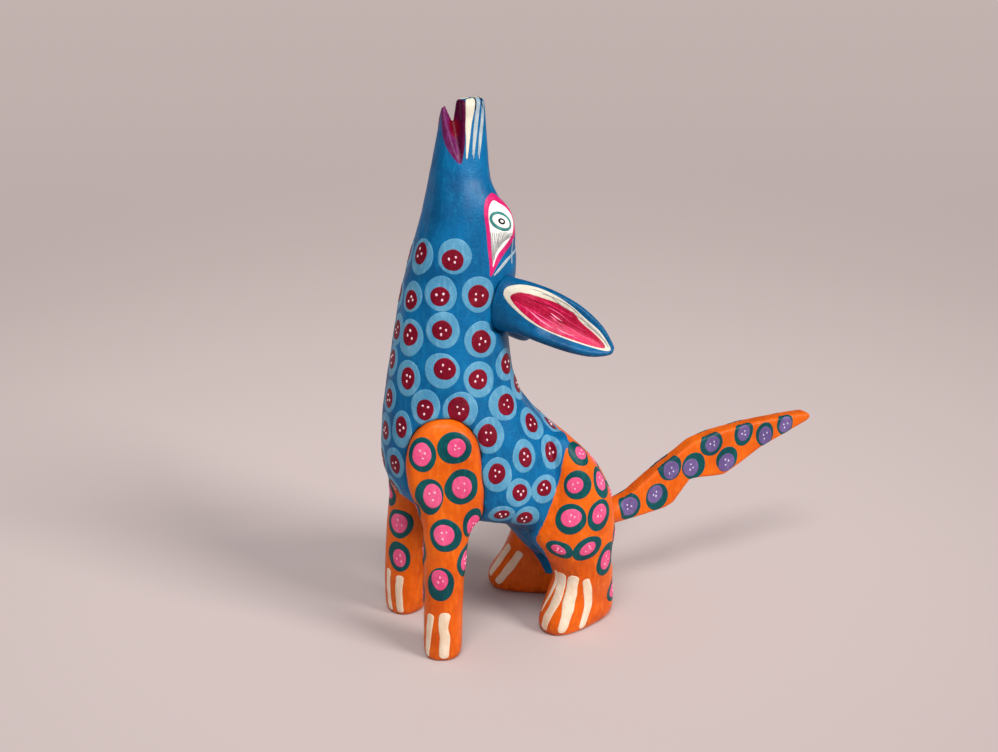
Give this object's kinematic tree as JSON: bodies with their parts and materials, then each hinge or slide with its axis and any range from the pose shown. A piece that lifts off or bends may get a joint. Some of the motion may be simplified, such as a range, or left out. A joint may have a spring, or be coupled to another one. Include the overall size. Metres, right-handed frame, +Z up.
{
  "type": "carved wooden coyote figure",
  "caption": "Carved and painted wooden coyote that sits and howls, with forelegs glued on at the shoulders, and ears and a tail that twist and pull off their dowels.",
  "frame": {"origin": "on the surface that the feet stand on, under the middle of the whole length and width", "axes": "+Z up along the raised snout, -Y the way the chest faces, +Y towards the tail, +X the figure's left"},
  "size_m": [0.058, 0.1804, 0.1898],
  "materials": {
    "blue_painted_wood": "brushed acrylic paint with ring dots, satin",
    "orange_painted_wood": "brushed acrylic paint with ring dots, satin",
    "bare_wood": "bare copal wood, dry"
  },
  "bodies": {
    "figure": {"body": "blue_painted_wood", "left_foreleg": "orange_painted_wood", "right_foreleg": "orange_painted_wood", "left_foreleg_peg": "bare_wood", "right_foreleg_peg": "bare_wood"},
    "left_ear_dowel": {"left_ear_peg": "bare_wood"},
    "left_ear": {"left_ear": "blue_painted_wood"},
    "right_ear_dowel": {"right_ear_peg": "bare_wood"},
    "right_ear": {"right_ear": "blue_painted_wood"},
    "tail_dowel": {"tail_peg": "bare_wood"},
    "tail": {"tail": "orange_painted_wood"}
  },
  "joints": [
    {"name": "left_ear_pull", "type": "slide", "parent": "figure", "child": "left_ear_dowel", "axis": [0.7991, 0.5805, -0.1564], "range_m": [0, 0.013]},
    {"name": "left_ear_twist", "type": "hinge", "parent": "left_ear_dowel", "child": "left_ear", "pos_m": [0.011, -0.0526, 0.1235], "axis": [0.7991, 0.5805, -0.1564], "continuous": true},
    {"name": "right_ear_pull", "type": "slide", "parent": "figure", "child": "right_ear_dowel", "axis": [-0.7454, 0.648, -0.1564], "range_m": [0, 0.013]},
    {"name": "right_ear_twist", "type": "hinge", "parent": "right_ear_dowel", "child": "right_ear", "pos_m": [-0.011, -0.0526, 0.1235], "axis": [-0.7454, 0.648, -0.1564], "continuous": true},
    {"name": "tail_pull", "type": "slide", "parent": "figure", "child": "tail_dowel", "axis": [0, 0.9511, 0.309], "range_m": [0, 0.013]},
    {"name": "tail_twist", "type": "hinge", "parent": "tail_dowel", "child": "tail", "pos_m": [0, -0.0065, 0.033], "axis": [0, 0.9511, 0.309], "continuous": true}
  ]
}
